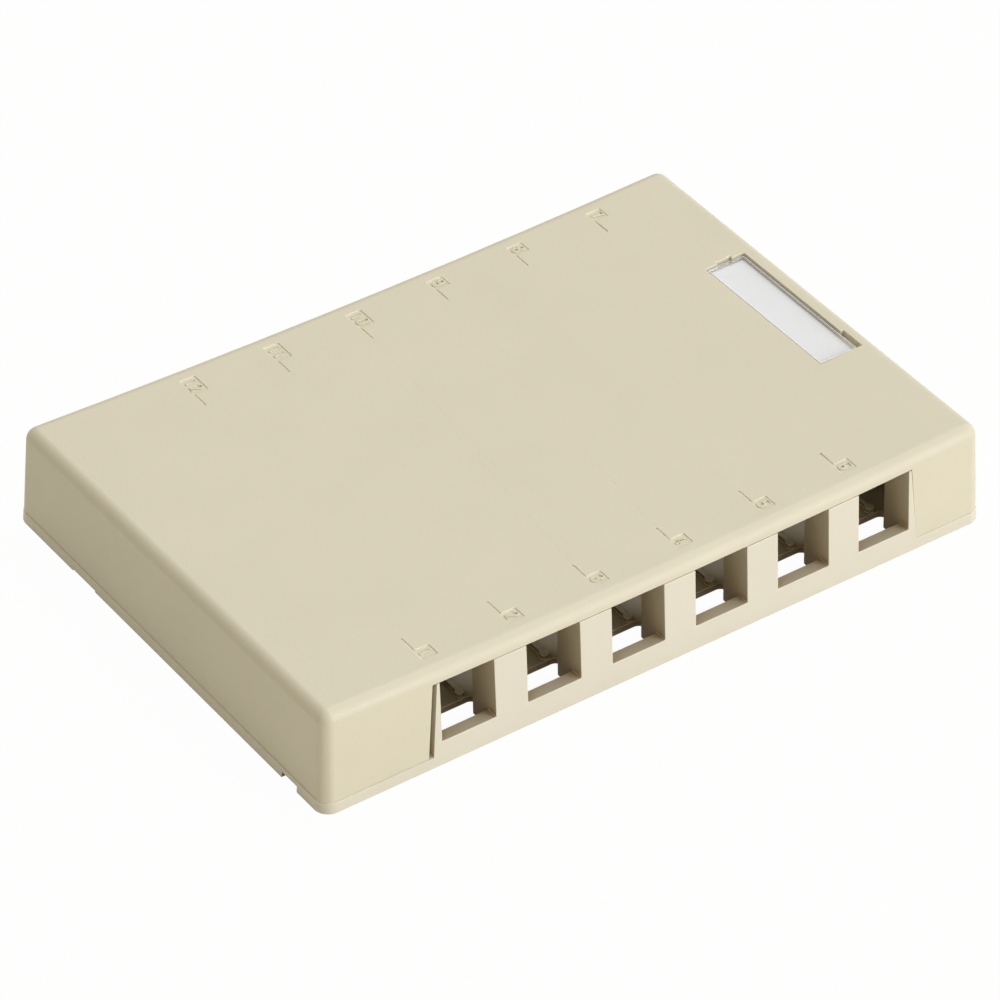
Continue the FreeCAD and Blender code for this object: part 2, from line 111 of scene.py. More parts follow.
class PlasticFinish(bpy.types.PropertyGroup):
    cover_colour: FloatVectorProperty(
        name="Cover colour", description="Ivory of the textured cover", subtype="COLOR",
        size=3, min=0, max=1, default=(0.72, 0.679, 0.541))
    base_colour: FloatVectorProperty(
        name="Base colour", description="Ivory of the smoother base and port panels",
        subtype="COLOR", size=3, min=0, max=1, default=(0.75, 0.715, 0.605))
    # Painted shade: the dark colour that the ivory is mixed towards where its own walls enclose a
    # place
    deep_colour: FloatVectorProperty(
        name="Deep colour", description="Colour that ivory deepens to where walls enclose it",
        subtype="COLOR", size=3, min=0, max=1, default=(0.3, 0.16, 0.018))
    roughness: FloatProperty(
        name="Roughness", description="Middle of the range that the roughness varies over",
        min=0, max=1, default=0.48)
    grain_size: FloatProperty(
        name="Grain size", description="Width of one pit of the cover's moulded grain",
        unit="LENGTH", default=0.45 * MM)
    grain_depth: FloatProperty(
        name="Grain depth", description="Depth of the cover's moulded grain",
        unit="LENGTH", default=0.02 * MM)
    cover_edge: FloatProperty(
        name="Cover edge radius", description="Small radius on the cover's cut edges",
        unit="LENGTH", default=0.14 * MM)
    base_edge: FloatProperty(
        name="Base edge radius", description="Small radius on the edges of the base",
        unit="LENGTH", default=0.14 * MM)


class NumberSizes(bpy.types.PropertyGroup):
    stroke_width: FloatProperty(
        name="Stroke width", description="Width of a raised digit's stroke",
        unit="LENGTH", default=0.5 * MM)
    stroke_rise: FloatProperty(
        name="Stroke rise", description="Height of a digit over the floor of its panel",
        unit="LENGTH", default=0.36 * MM)
    digit_height: FloatProperty(
        name="Digit height", description="Height of a digit, foot to top",
        unit="LENGTH", default=3.2 * MM)
    digit_step: FloatProperty(
        name="Digit step", description="From one digit of a number to the next",
        unit="LENGTH", default=2.3 * MM)


class LabelSizes(bpy.types.PropertyGroup):
    card_colour: FloatVectorProperty(
        name="Card colour", description="White of the paper card", subtype="COLOR",
        size=3, min=0, max=1, default=(0.905, 0.93, 0.99))
    window_colour: FloatVectorProperty(
        name="Window colour", description="Tint of the clear window", subtype="COLOR",
        size=3, min=0, max=1, default=(0.9, 0.91, 0.92))
    window_edge: FloatProperty(
        name="Window edge radius", description="Small radius on the window's edges",
        unit="LENGTH", default=0.2 * MM)
    air_gap: FloatProperty(
        name="Air gap", description="Thin gap between the card and the window",
        unit="LENGTH", default=0.03 * MM)


class StudioSettings(bpy.types.PropertyGroup):
    azimuth: FloatProperty(
        name="Azimuth", description="Camera's direction round the box, from straight in front",
        subtype="ANGLE", default=math.radians(35.73))
    elevation: FloatProperty(
        name="Elevation", description="Camera's height angle over the floor",
        subtype="ANGLE", default=math.radians(38.83))
    roll: FloatProperty(
        name="Roll", description="Camera's turn about its own axis",
        subtype="ANGLE", default=math.radians(0.846))
    distance: FloatProperty(
        name="Distance", description="Camera's distance from the point that it aims at",
        unit="LENGTH", default=1.3555)
    focal_length: FloatProperty(
        name="Focal length", description="Camera's focal length in millimetres",
        default=207.83)
    key_power: FloatProperty(
        name="Key light", description="Power of the large light at the front right, in watts",
        default=48.0)
    top_power: FloatProperty(
        name="Top light", description="Power of the light high up behind the box, in watts",
        default=28.0)
    sky_strength: FloatProperty(
        name="Sky", description="Strength of the even light from all round",
        default=0.405)
    floor_glow: FloatProperty(
        name="Floor glow", description="How white the floor stays in the box's shadow",
        subtype="FACTOR", min=0, max=1, default=0.975)


class JackBoxSettings(bpy.types.PropertyGroup):
    plastic: PointerProperty(type=PlasticFinish)
    numbers: PointerProperty(type=NumberSizes)
    label: PointerProperty(type=LabelSizes)
    studio: PointerProperty(type=StudioSettings)


# Node helpers

MIX_FACTOR = 0                          # sockets of a Mix node that mixes colours
MIX_FIRST = 6
MIX_SECOND = 7
MIX_RESULT = 2
NOISE_LOW = 0.3                         # range that most of a noise's values lie in
NOISE_HIGH = 0.7


def add_node(tree, kind, inputs=None, **settings):
    """A node with its settings, and its inputs set to values or linked to sockets."""
    node = tree.nodes.new(kind)
    for name, value in settings.items():
        setattr(node, name, value)
    for name, value in (inputs or {}).items():
        if isinstance(value, bpy.types.NodeSocket):
            tree.links.new(value, node.inputs[name])
        else:
            node.inputs[name].default_value = value
    return node


def empty_tree(owner):
    """The node tree of a material or a world, with nothing in it."""
    owner.use_nodes = True
    owner.node_tree.nodes.clear()
    return owner.node_tree


def object_place(tree):
    """Coordinates in the object's own frame."""
    return add_node(tree, "ShaderNodeTexCoord").outputs["Object"]


def new_material(name):
    """An empty material: its tree, its object coordinates and its shader, linked to the output."""
    material = bpy.data.materials.new(name)
    tree = empty_tree(material)
    place = object_place(tree)
    shader = add_node(tree, "ShaderNodeBsdfPrincipled")
    output = add_node(tree, "ShaderNodeOutputMaterial")
    tree.links.new(shader.outputs["BSDF"], output.inputs["Surface"])
    return material, tree, place, shader


def noise(tree, place, size, detail=2.0, roughness=0.5):
    """Smooth noise whose features are about size across."""
    node = add_node(tree, "ShaderNodeTexNoise",
                    {"Vector": place, "Scale": 1 / size, "Detail": detail, "Roughness": roughness})
    return node.outputs["Fac"]


def spread(tree, value, low, high):
    """Noise mapped to a range."""
    node = add_node(tree, "ShaderNodeMapRange",
                    {"Value": value, "From Min": NOISE_LOW, "From Max": NOISE_HIGH,
                     "To Min": low, "To Max": high})
    return node.outputs["Result"]


def mixed_colour(tree, factor, first, second):
    """The first colour at factor 0, the second at 1. A colour may be a socket or three numbers."""
    node = add_node(tree, "ShaderNodeMix", {MIX_FACTOR: factor}, data_type="RGBA")
    for socket, colour in ((node.inputs[MIX_FIRST], first), (node.inputs[MIX_SECOND], second)):
        if isinstance(colour, bpy.types.NodeSocket):
            tree.links.new(colour, socket)
        else:
            socket.default_value = (*colour, 1)
    return node.outputs[MIX_RESULT]


def shade(colour, factor):
    """The colour made darker or lighter by a factor."""
    return tuple(min(1.0, part * factor) for part in colour)


# Finishes

# Painted shade, darkening the ivory where its walls stand close: the reach of openness(), and what it
# counts as closed and as open
CREVICE_SHADE = (0.5 * MM, -0.1, 0.5)        # painted shade on outer faces, in narrow grooves alone
ENCLOSED_SHADE = (25 * MM, 0.35, 1.0)         # painted shade on inner faces, the more the closer the walls stand
EDGE_SHADE = (8 * MM, 0.15, 0.42)            # painted shade on rounded edges, deep between walls alone
OPENNESS_SAMPLES = 2                    # rays at each point

EDGE_HIGHLIGHT = 1.18                  # painted highlight: rounded edges made lighter than the faces beside them
FULL_GRAIN = 1.0                        # shares of the grain depth: outside the cover, elsewhere
FAINT_GRAIN = 0.3
IVORY_IOR = 1.5
OUTER_SHINE = 0.5                       # strength of the highlights, outside and inside
INNER_SHINE = 0.06

MOTTLE_SIZE = 22 * MM                   # broad flow marks, and their darkest and lightest shade
MOTTLE_DARK = 0.985
MOTTLE_LIGHT = 1.015
SPECK_SIZE = 0.7 * MM                   # small specks, their shade and how far they show
SPECK_DARK = 0.88
SPECK_SHARE = 0.12
GLOSS_SIZE = 3 * MM                     # patches of gloss, and their range of roughness each way
GLOSS_RANGE = 0.03

FIBRE_SIZE = 0.5 * MM                   # fibres of the card, longer along Y
FIBRE_STRETCH = (1, 0.25, 1)
FIBRE_DARK = 0.98
FIBRE_DEPTH = 0.004 * MM
CARD_ROUGHNESS = (0.75, 0.85)

HAZE_SIZE = 6 * MM                      # patches of haze on the window, and the roughness they add
HAZE_ROUGHNESS = 0.06
STREAK_SIZE = 2 * MM
STREAK_DARK = 0.97
CLEAR_IOR = 1.49
WINDOW_FACE = {"alpha": 0.12, "roughness": 0.05}    # the card shows through the flat faces
WINDOW_EDGE = {"alpha": 0.8, "roughness": 0.12}     # and the edges catch the light


def openness(tree, reach, closed, open_):
    """0 where the piece's own walls within reach leave little open round a point, rising to 1. It is
    the mask of the painted shade.

    Other pieces don't count, so the colour stays the same when the cover is lifted off.
    """
    node = add_node(tree, "ShaderNodeAmbientOcclusion", {"Distance": reach},
                    samples=OPENNESS_SAMPLES, only_local=True)
    level = add_node(tree, "ShaderNodeMapRange",
                     {"Value": node.outputs["AO"], "From Min": closed, "From Max": open_})
    return level.outputs["Result"]


def moulded_ivory(name, colour, plastic, grain, painted_shade_reach, shine=OUTER_SHINE):
    """Ivory moulded plastic: faint flow mottling, uneven gloss, a fine spark-eroded grain, and painted
    shade where its own walls enclose it.

    grain is the share of the full grain depth. The argument after it says where painted shade darkens
    the ivory towards the shade colour.
    """
    material, tree, place, shader = new_material(name)
    mottle = noise(tree, place, MOTTLE_SIZE, detail=3)
    cloud = mixed_colour(tree, spread(tree, mottle, 0, 1),
                         shade(colour, MOTTLE_DARK), shade(colour, MOTTLE_LIGHT))
    speck = noise(tree, place, SPECK_SIZE, detail=4, roughness=0.65)
    tint = mixed_colour(tree, spread(tree, speck, 0, SPECK_SHARE), cloud, shade(colour, SPECK_DARK))
    # Painted shade: the colour is mixed towards the dark shade colour where the piece's own walls
    # enclose a place
    light = openness(tree, *painted_shade_reach)
    tree.links.new(mixed_colour(tree, light, plastic.deep_colour, tint), shader.inputs["Base Color"])
    gloss = spread(tree, noise(tree, place, GLOSS_SIZE, detail=4),
                   plastic.roughness - GLOSS_RANGE, plastic.roughness + GLOSS_RANGE)
    tree.links.new(gloss, shader.inputs["Roughness"])
    tree.links.new(grain_normal(tree, place, plastic.grain_size, plastic.grain_depth * grain),
                   shader.inputs["Normal"])
    shader.inputs["IOR"].default_value = IVORY_IOR
    shader.inputs["Specular IOR Level"].default_value = shine
    return material


def grain_normal(tree, place, size, depth):
    """Normal of a surface with moulded grain: rounded pits with finer noise over them."""
    pits = add_node(tree, "ShaderNodeTexVoronoi", {"Vector": place, "Scale": 1 / size},
                    feature="SMOOTH_F1")
    finer = noise(tree, place, size / 2, detail=3)
    grains = add_node(tree, "ShaderNodeMath", {0: pits.outputs["Distance"], 1: finer},
                      operation="ADD")
    bump = add_node(tree, "ShaderNodeBump",
                    {"Height": grains.outputs[0], "Strength": 1.0, "Distance": depth})
    return bump.outputs["Normal"]


def ivory_finishes(piece, colour, plastic, grain):
    """Finishes of the outside, the inside and the edges of a moulding. All three carry painted shade,
    and the edges are also painted lighter as a painted highlight.
    """
    highlighted_colour = shade(colour, EDGE_HIGHLIGHT)
    return [moulded_ivory(piece + "_ivory", colour, plastic, grain, CREVICE_SHADE),
            moulded_ivory(piece + "_inside", colour, plastic, FAINT_GRAIN, ENCLOSED_SHADE, INNER_SHINE),
            moulded_ivory(piece + "_edges", highlighted_colour, plastic, FAINT_GRAIN, EDGE_SHADE)]


def paper_card(colour):
    """Smooth white card with a faint fibre."""
    material, tree, place, shader = new_material("card_paper")
    stretch = add_node(tree, "ShaderNodeMapping", {"Vector": place, "Scale": FIBRE_STRETCH})
    fibre = noise(tree, stretch.outputs["Vector"], FIBRE_SIZE, detail=5, roughness=0.7)
    tree.links.new(mixed_colour(tree, spread(tree, fibre, 0, 1), shade(colour, FIBRE_DARK), colour),
                   shader.inputs["Base Color"])
    tree.links.new(spread(tree, fibre, *CARD_ROUGHNESS), shader.inputs["Roughness"])
    bump = add_node(tree, "ShaderNodeBump", {"Height": fibre, "Distance": FIBRE_DEPTH})
    tree.links.new(bump.outputs["Normal"], shader.inputs["Normal"])
    return material


def clear_plastic(name, colour, alpha, roughness):
    """Polished clear plastic, seen as a thin sheet that lets the card show through."""
    material, tree, place, shader = new_material(name)
    haze = spread(tree, noise(tree, place, HAZE_SIZE, detail=3), roughness, roughness + HAZE_ROUGHNESS)
    tree.links.new(haze, shader.inputs["Roughness"])
    streak = noise(tree, place, STREAK_SIZE, detail=2)
    tree.links.new(mixed_colour(tree, spread(tree, streak, 0, 1), shade(colour, STREAK_DARK), colour),
                   shader.inputs["Base Color"])
    shader.inputs["Alpha"].default_value = alpha
    shader.inputs["IOR"].default_value = CLEAR_IOR
    return material


# Meshes

FACES_X = 0.7                           # patches that face along X more than this are cut along Y
BEVEL_SEGMENTS = 2
LARGE_FACE_WEIGHT = 100                 # how far the largest face at a point sets its shading


def lies_in(face, seed):
    """True if the face lies in the seed's plane."""
    if seed.normal.angle(face.normal, math.pi) > SAME_FACE_ANGLE:
        return False
    origin = seed.verts[0].co
    return all(abs((v.co - origin).dot(seed.normal)) < SAME_FACE_DISTANCE for v in face.verts)


def grown(seed, may_join):
    """The seed and all faces reached from it over edges, through faces that may join."""
    patch = {seed}
    queue = deque([seed])
    while queue:
        for edge in queue.popleft().edges:
            for face in edge.link_faces:
                if face not in patch and may_join(face, patch):
                    patch.add(face)
                    queue.append(face)
    return patch


def parts_of(faces, may_join_seed):
    """Splits faces into connected patches, largest seeds first."""
    free = set(faces)
    patches = []
    for seed in sorted(faces, key=lambda face: (-face.calc_area(), face.index)):
        if seed in free:
            patches.append(grown(seed, may_join_seed(seed, free)))
            free -= patches[-1]
    return patches


def in_plane(seed, free):
    """A face may join if it lies in the seed's plane."""
    return lambda face, patch: face in free and lies_in(face, seed)


def without_holes(seed, free):
    """A face may join if the patch keeps a single, simple outline."""
    def may_join(face, patch):
        if face not in free:
            return False
        shared = [e for e in face.edges if any(f in patch for f in e.link_faces)]
        touched = [v for v in face.verts if any(f in patch for f in v.link_faces)]
        return len(touched) == len(shared) + 1 or len(shared) == len(face.edges)
    return may_join


def outlines(patch):
    """The patch's outlines, each as a set of points."""
    edges = {e for f in patch for e in f.edges if sum(g in patch for g in e.link_faces) == 1}
    loops = []
    while edges:
        points = set()
        queue = deque([edges.pop()])
        while queue:
            for vert in queue.popleft().verts:
                points.add(vert)
                near = [e for e in vert.link_edges if e in edges]
                edges.difference_update(near)
                queue.extend(near)
        loops.append(points)
    return loops


def hole_cuts(patch, axis):
    """Places along an axis for cuts that pass through the middle half of every hole in a patch."""
    spans = []
    for points in outlines(patch):
        places = [vert.co[axis] for vert in points]
        spans.append((min(places), max(places)))
    if len(spans) < 2:
        return []
    spans.remove(max(spans, key=lambda span: span[1] - span[0]))
    cuts = []
    for low, high in sorted(spans):
        margin = (high - low) / 4       # one cut serves all holes whose middle half it crosses
        if not any(low + margin < cut < high - margin for cut in cuts):
            cuts.append((low + high) / 2)
    return cuts


def cut_through_holes(bm):
    """Cuts each flat patch across its holes. Returns the layer that numbers the patches' parts."""
    part = bm.faces.layers.int.new("flat_part")
    patches = parts_of(list(bm.faces), in_plane)
    for number, patch in enumerate(patches):
        for face in patch:
            face[part] = number
    count = len(patches)
    for number, patch in enumerate(patches):
        axis = 1 if abs(next(iter(patch)).normal.x) > FACES_X else 0
        for cut in hole_cuts(patch, axis):
            cut_part(bm, part, number, count, axis, cut)
            number = count
            count += 1
    return part


def cut_part(bm, part, number, beyond, axis, cut):
    """Cuts the part with a number at a place along an axis. What is beyond gets another number."""
    faces = [face for face in bm.faces if face[part] == number]
    # Kept in order, because the order of a set changes from run to run
    edges = dict.fromkeys(edge for face in faces for edge in face.edges)
    verts = dict.fromkeys(vert for face in faces for vert in face.verts)
    across = Vector((1 - axis, axis, 0))
    bmesh.ops.bisect_plane(bm, geom=[*faces, *edges, *verts], dist=MERGE_DISTANCE,
                           plane_co=across * cut, plane_no=across)
    for face in bm.faces:
        if face[part] == number and face.calc_center_median()[axis] > cut:
            face[part] = beyond


def join_flat_triangles(bm):
    """Joins the triangles of each flat face into whole faces, none of which has a hole."""
    bm.normal_update()
    part = cut_through_holes(bm)
    bm.faces.index_update()             # faces are put in order by their index below
    groups = {}
    for face in bm.faces:
        groups.setdefault(face[part], []).append(face)
    patches = [patch for faces in groups.values() for patch in parts_of(faces, without_holes)]
    for patch in patches:
        if len(patch) > 1:
            bmesh.utils.face_join(sorted(patch, key=lambda face: face.index))
    bm.normal_update()


def merged_copy(node_name):
    """The node's mesh with its triangles merged into whole faces, as an editable bmesh."""
    bm = bmesh.new()
    bm.from_mesh(frame["nodes"][node_name].data)
    foot = min(vert.co.z for vert in bm.verts)
    for vert in bm.verts:
        if vert.co.z < foot + FOOT_HEIGHT:
            vert.co.z = foot
    bmesh.ops.remove_doubles(bm, verts=bm.verts, dist=MERGE_DISTANCE)
    join_flat_triangles(bm)
    return bm


def weigh_edges(bm, foot=None):
    """Marks the sharp edges for rounding, but those at the height of a foot as sharp."""
    weight = bm.edges.layers.float.new("bevel_weight_edge")
    for edge in bm.edges:
        if edge.calc_face_angle(0) < SHARP_ANGLE:
            continue
        if foot is not None and all(abs(vert.co.z - foot) < MERGE_DISTANCE for vert in edge.verts):
            edge.smooth = False
        else:
            edge[weight] = 1.0


def new_piece(name, bm, materials):
    """A new object at the origin from a bmesh, which is freed."""
    mesh = bpy.data.meshes.new(name)
    bm.to_mesh(mesh)
    bm.free()
    for material in materials:
        mesh.materials.append(material)
    return new_object(name, mesh)


def new_object(name, data):
    """A new object of the data, in the scene."""
    piece = bpy.data.objects.new(name, data)
    bpy.context.scene.collection.objects.link(piece)
    return piece


def rounded_edges(piece, radius, slot):
    """Rounds the marked edges, and keeps flat faces flat where they meet a rounding."""
    bevel = piece.modifiers.new("edges", "BEVEL")
    bevel.width = radius
    bevel.segments = BEVEL_SEGMENTS
    bevel.limit_method = "WEIGHT"
    bevel.material = slot
    bevel.use_clamp_overlap = False
    bevel.miter_outer = "MITER_ARC"
    weights = piece.modifiers.new("shading", "WEIGHTED_NORMAL")
    weights.keep_sharp = True
    weights.weight = LARGE_FACE_WEIGHT
    piece.data.shade_smooth()
    apply_modifiers(piece)


def modified_mesh(piece):
    """A new mesh of what the object's modifiers make."""
    graph = bpy.context.evaluated_depsgraph_get()
    return bpy.data.meshes.new_from_object(piece.evaluated_get(graph))


def apply_modifiers(piece):
    """Turns the piece into a plain mesh of what its modifiers make."""
    made = modified_mesh(piece)
    piece.modifiers.clear()
    old = piece.data
    name = old.name
    piece.data = made
    bpy.data.meshes.remove(old)
    made.name = name


# Outside and inside of the box

OUTSIDE_SLOT = 0                        # places of the finishes of a moulding
INSIDE_SLOT = 1
EDGE_SLOT = 2
SIDE_LEAN = 0.06                        # lean of the front and back walls
END_LEAN = 0.037                        # lean of the two end walls
CORNER_RADIUS = 3.8 * MM                # upright corners of the base
SKIN = 0.5 * MM                         # a face whose middle is deeper than this is inside
SAME_LEVEL = 0.1 * MM                   # faces this near to a height are level with it
UNDER_FACING = -0.5                     # faces that look down more than this are inside the lid
BASE_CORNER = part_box("base")[1]         # its back right corner, at the height of its top
RIM_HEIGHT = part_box("cover")[0].z       # where the cover stands on the base
LID_HEIGHT = BASE_CORNER.z              # the lid of the cover is all above the base


def depth_in_box(place):
    """How far a point is inside the leaning outer walls, whose upright corners are rounded."""
    from_end = BASE_CORNER.x - END_LEAN * place.z - abs(place.x)
    from_side = BASE_CORNER.y - SIDE_LEAN * place.z - abs(place.y)
    if max(from_end, from_side) > CORNER_RADIUS:
        return min(from_end, from_side)
    return CORNER_RADIUS - math.hypot(CORNER_RADIUS - from_end, CORNER_RADIUS - from_side)


def mark_inside(bm, is_outside):
    """Gives each face the finish of the outside or of the inside of the box."""
    for face in bm.faces:
        middle = face.calc_center_median()
        outside = depth_in_box(middle) < SKIN or is_outside(middle, face.normal)
        face.material_index = OUTSIDE_SLOT if outside else INSIDE_SLOT


def base_outside(middle, normal):
    """The underside of the base, and the rim that the cover stands on."""
    if normal.z < -FLAT_FACING:
        return middle.z < SAME_LEVEL
    return normal.z > FLAT_FACING and abs(middle.z - RIM_HEIGHT) < SAME_LEVEL


def cover_outside(middle, normal):
    """The top of the cover, with the walls of what is sunk in it."""
    return middle.z > LID_HEIGHT and normal.z > UNDER_FACING


# Raised numbers

PANEL_SHIFT = {                         # middle of a number's panel, from the middle of its port
    FRONT_ROW: -6.2 * MM,
    BACK_ROW: 4.0 * MM,
}
PANEL_OUTER_Y = 57.5 * MM               # outer side of the panels, from the middle of the box
PANEL_DEPTH_Y = 3.7 * MM                # panel for one digit, along Y
DIGIT_NARROWING = 0.82                  # digits are drawn on round loops, then narrowed
BOW_STEP = 15                           # degrees between points on a round stroke
BOW_LEAST_STEPS = 4
STROKE_SIDES = 12                       # sides of a stroke's round section
STROKE_SHARP_ANGLE = math.radians(60)   # edges sharper than this stay sharp on a stroke
RAY_LENGTH = 1.0                        # far more than the way down to the cover


def line(*points):
    """Points on a straight-sided stroke."""
    return [Vector((u, v, 0)) for u, v in points]


def bow(centre_v, radius, start, end):
    """Points on a round stroke about (0, centre_v), from one angle to another, in degrees."""
    steps = max(BOW_LEAST_STEPS, round(abs(end - start) / BOW_STEP))
    angles = [math.radians(start + (end - start) * step / steps) for step in range(steps + 1)]
    return [Vector((radius * math.cos(a), centre_v + radius * math.sin(a), 0)) for a in angles]


def digit_strokes(name, height):
    """Strokes of one digit, centred on u = 0 and standing on v = 0.

    Digits follow two stacked loops of radius r, whose middles are at v = r and v = 3 * r.
    """
    r = height / 4
    strokes = {
        "0": [bow(r, r, 180, 360) + bow(3 * r, r, 0, 180) + line((-r, r))],
        "1": [line((-0.7 * r, 3.3 * r), (0, 4 * r), (0, 0))],
        "2": [bow(3 * r, r, 170, -30) + line((-r, 0), (r, 0))],
        "3": [bow(3 * r, r, 160, -90), bow(r, r, 90, -160)],
        "4": [line((0.4 * r, 0), (0.4 * r, 4 * r), (-r, 1.3 * r), (r, 1.3 * r))],
        "5": [line((0.9 * r, 4 * r), (-0.7 * r, 4 * r), (-0.7 * r, 1.94 * r)),
              bow(1.1 * r, 1.1 * r, 130, -150)],
        "6": [bow(3 * r, r, 40, 180) + bow(r, r, 180, 540)],
        "7": [line((-r, 4 * r), (r, 4 * r), (-0.3 * r, 0))],
        "8": [bow(r, r, 90, 450), bow(3 * r, r, -90, 270)],
        "9": [bow(r, r, -140, 0) + bow(3 * r, r, 0, 360)],
    }
    return [[Vector((p.x * DIGIT_NARROWING, p.y, 0)) for p in stroke] for stroke in strokes[name]]


def raised_line_tree():
    """Geometry nodes: curves above a surface are laid on it and become round-topped ridges."""
    tree = bpy.data.node_groups.new("raised_line", "GeometryNodeTree")
    for name, kind in (("Curves", "Geometry"), ("Surface", "Object"), ("Stroke Width", "Float"),
                       ("Stroke Rise", "Float"), ("Material", "Material")):
        tree.interface.new_socket(name, in_out="INPUT", socket_type="NodeSocket" + kind)
    tree.interface.new_socket("Geometry", in_out="OUTPUT", socket_type="NodeSocketGeometry")
    given = add_node(tree, "NodeGroupInput").outputs
    surface = add_node(tree, "GeometryNodeObjectInfo", {"Object": given["Surface"]})
    down = add_node(tree, "GeometryNodeRaycast",
                    {"Target Geometry": surface.outputs["Geometry"], "Ray Direction": (0, 0, -1),
                     "Ray Length": RAY_LENGTH})
    half = add_node(tree, "ShaderNodeMath", {0: given["Stroke Width"], 1: 0.5}, operation="MULTIPLY")
    lift = add_node(tree, "ShaderNodeMath", {0: given["Stroke Rise"], 1: half.outputs[0]},
                    operation="SUBTRACT")
    offset = add_node(tree, "ShaderNodeCombineXYZ", {"Z": lift.outputs[0]})
    laid = add_node(tree, "GeometryNodeSetPosition",
                    {"Geometry": given["Curves"], "Position": down.outputs["Hit Position"],
                     "Offset": offset.outputs[0]})
    section = add_node(tree, "GeometryNodeCurvePrimitiveCircle",
                       {"Resolution": STROKE_SIDES, "Radius": half.outputs[0]})
    ridge = add_node(tree, "GeometryNodeCurveToMesh",
                     {"Curve": laid.outputs["Geometry"], "Profile Curve": section.outputs["Curve"],
                      "Fill Caps": True})
    whole = add_node(tree, "GeometryNodeRealizeInstances", {"Geometry": ridge.outputs["Mesh"]})
    finish = add_node(tree, "GeometryNodeSetMaterial",
                      {"Geometry": whole.outputs["Geometry"], "Material": given["Material"]})
    output = add_node(tree, "NodeGroupOutput")
    tree.links.new(finish.outputs["Geometry"], output.inputs["Geometry"])
    return tree


def set_input(modifier, name, value):
    """Sets a geometry nodes input by its socket's identifier."""
    sockets = modifier.node_group.interface.items_tree
    socket = next(s for s in sockets if s.name == name and s.in_out == "INPUT")
    modifier[socket.identifier] = value


def number_strokes(sizes):
    """Every number's strokes, read with their tops towards +X, in the plane over the cover."""
    strokes = []
    for row in (FRONT_ROW, BACK_ROW):
        for number, port_x in port_numbers(row):
            digits = str(number)
            extra = (len(digits) - 1) * sizes.digit_step
            middle_y = row * (PANEL_OUTER_Y - (PANEL_DEPTH_Y + extra) / 2)
            x = port_x + PANEL_SHIFT[row] - sizes.digit_height / 2
            for index, digit in enumerate(digits):
                y = middle_y + extra / 2 - index * sizes.digit_step
                for stroke in digit_strokes(digit, sizes.digit_height):
                    strokes.append([Vector((x + p.y, y - p.x, 0)) for p in stroke])
    return strokes


def stroke_curve(name, strokes, height):
    """One curve object with a straight-segment spline for each stroke."""
    curve = bpy.data.curves.new(name, "CURVE")
    curve.dimensions = "3D"
    for stroke in strokes:
        spline = curve.splines.new("POLY")
        spline.points.add(len(stroke) - 1)
        for point, place in zip(spline.points, stroke):
            point.co = (place.x, place.y, height, 1)
    return new_object(name, curve)


def mesh_from_curve(source, name):
    """A plain mesh object of what the curve's modifiers make. The curve is removed."""
    bpy.context.view_layer.update()
    mesh = modified_mesh(source)
    if not mesh.polygons:
        raise RuntimeError("the strokes made no mesh: do they lie over the cover?")
    curve = source.data
    bpy.data.objects.remove(source)
    bpy.data.curves.remove(curve)
    mesh.name = name
    mesh.shade_smooth()
    mesh.set_sharp_from_angle(angle=STROKE_SHARP_ANGLE)
    return new_object(name, mesh)


# Label

WINDOW_FACE_SLOT = 0                    # places of the window's finishes
WINDOW_EDGE_SLOT = 1


def make_card(sizes):
    """The paper card, made thinner by the air gap over it."""
    bm = merged_copy("label_card")
    floor_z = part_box("label_card")[0].z
    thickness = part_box("label_card")[1].z - floor_z
    thinner = (thickness - sizes.air_gap) / thickness
    for vert in bm.verts:
        vert.co.z = floor_z + (vert.co.z - floor_z) * thinner
    card = new_piece("paper_card", bm, [paper_card(sizes.card_colour)])
    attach(card, "cover")
    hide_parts("label_card")


def make_window(sizes):
    """The clear window, whose sides and roundings show more than its flat faces."""
    bm = merged_copy("label_window")
    for face in bm.faces:
        flat = abs(face.normal.z) > FLAT_FACING
        face.material_index = WINDOW_FACE_SLOT if flat else WINDOW_EDGE_SLOT
    weigh_edges(bm)
    finishes = [clear_plastic("window_face", sizes.window_colour, **WINDOW_FACE),
                clear_plastic("window_edge", sizes.window_colour, **WINDOW_EDGE)]
    window = new_piece("clear_window", bm, finishes)
    rounded_edges(window, sizes.window_edge, WINDOW_EDGE_SLOT)
    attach(window, "label_window")
    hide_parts("label_window")


# Operators

class JACKBOX_OT_make_base(bpy.types.Operator):
    """Give the base its rounded edges and its finish"""
    bl_idname = "jackbox.make_base"
    bl_label = "Make Base"

    def execute(self, context):
        plastic = context.scene.jack_box.plastic
        finishes = ivory_finishes("base", plastic.base_colour, plastic, FAINT_GRAIN)
        bm = merged_copy("base")
        mark_inside(bm, base_outside)
        weigh_edges(bm)
        base = new_piece("base_moulding", bm, finishes)
        rounded_edges(base, plastic.base_edge, EDGE_SLOT)
        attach(base, "base")
        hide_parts("base")
        return {"FINISHED"}


class JACKBOX_OT_make_cover(bpy.types.Operator):
    """Give the cover its rounded edges and its finish"""
    bl_idname = "jackbox.make_cover"
    bl_label = "Make Cover"

    def execute(self, context):
        plastic = context.scene.jack_box.plastic
        finishes = ivory_finishes("cover", plastic.cover_colour, plastic, FULL_GRAIN)
        bm = merged_copy("cover")
        mark_inside(bm, cover_outside)
        weigh_edges(bm, foot=RIM_HEIGHT)
        cover = new_piece("cover_moulding", bm, finishes)
        rounded_edges(cover, plastic.cover_edge, EDGE_SLOT)
        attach(cover, "cover")
        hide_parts("cover")
        return {"FINISHED"}


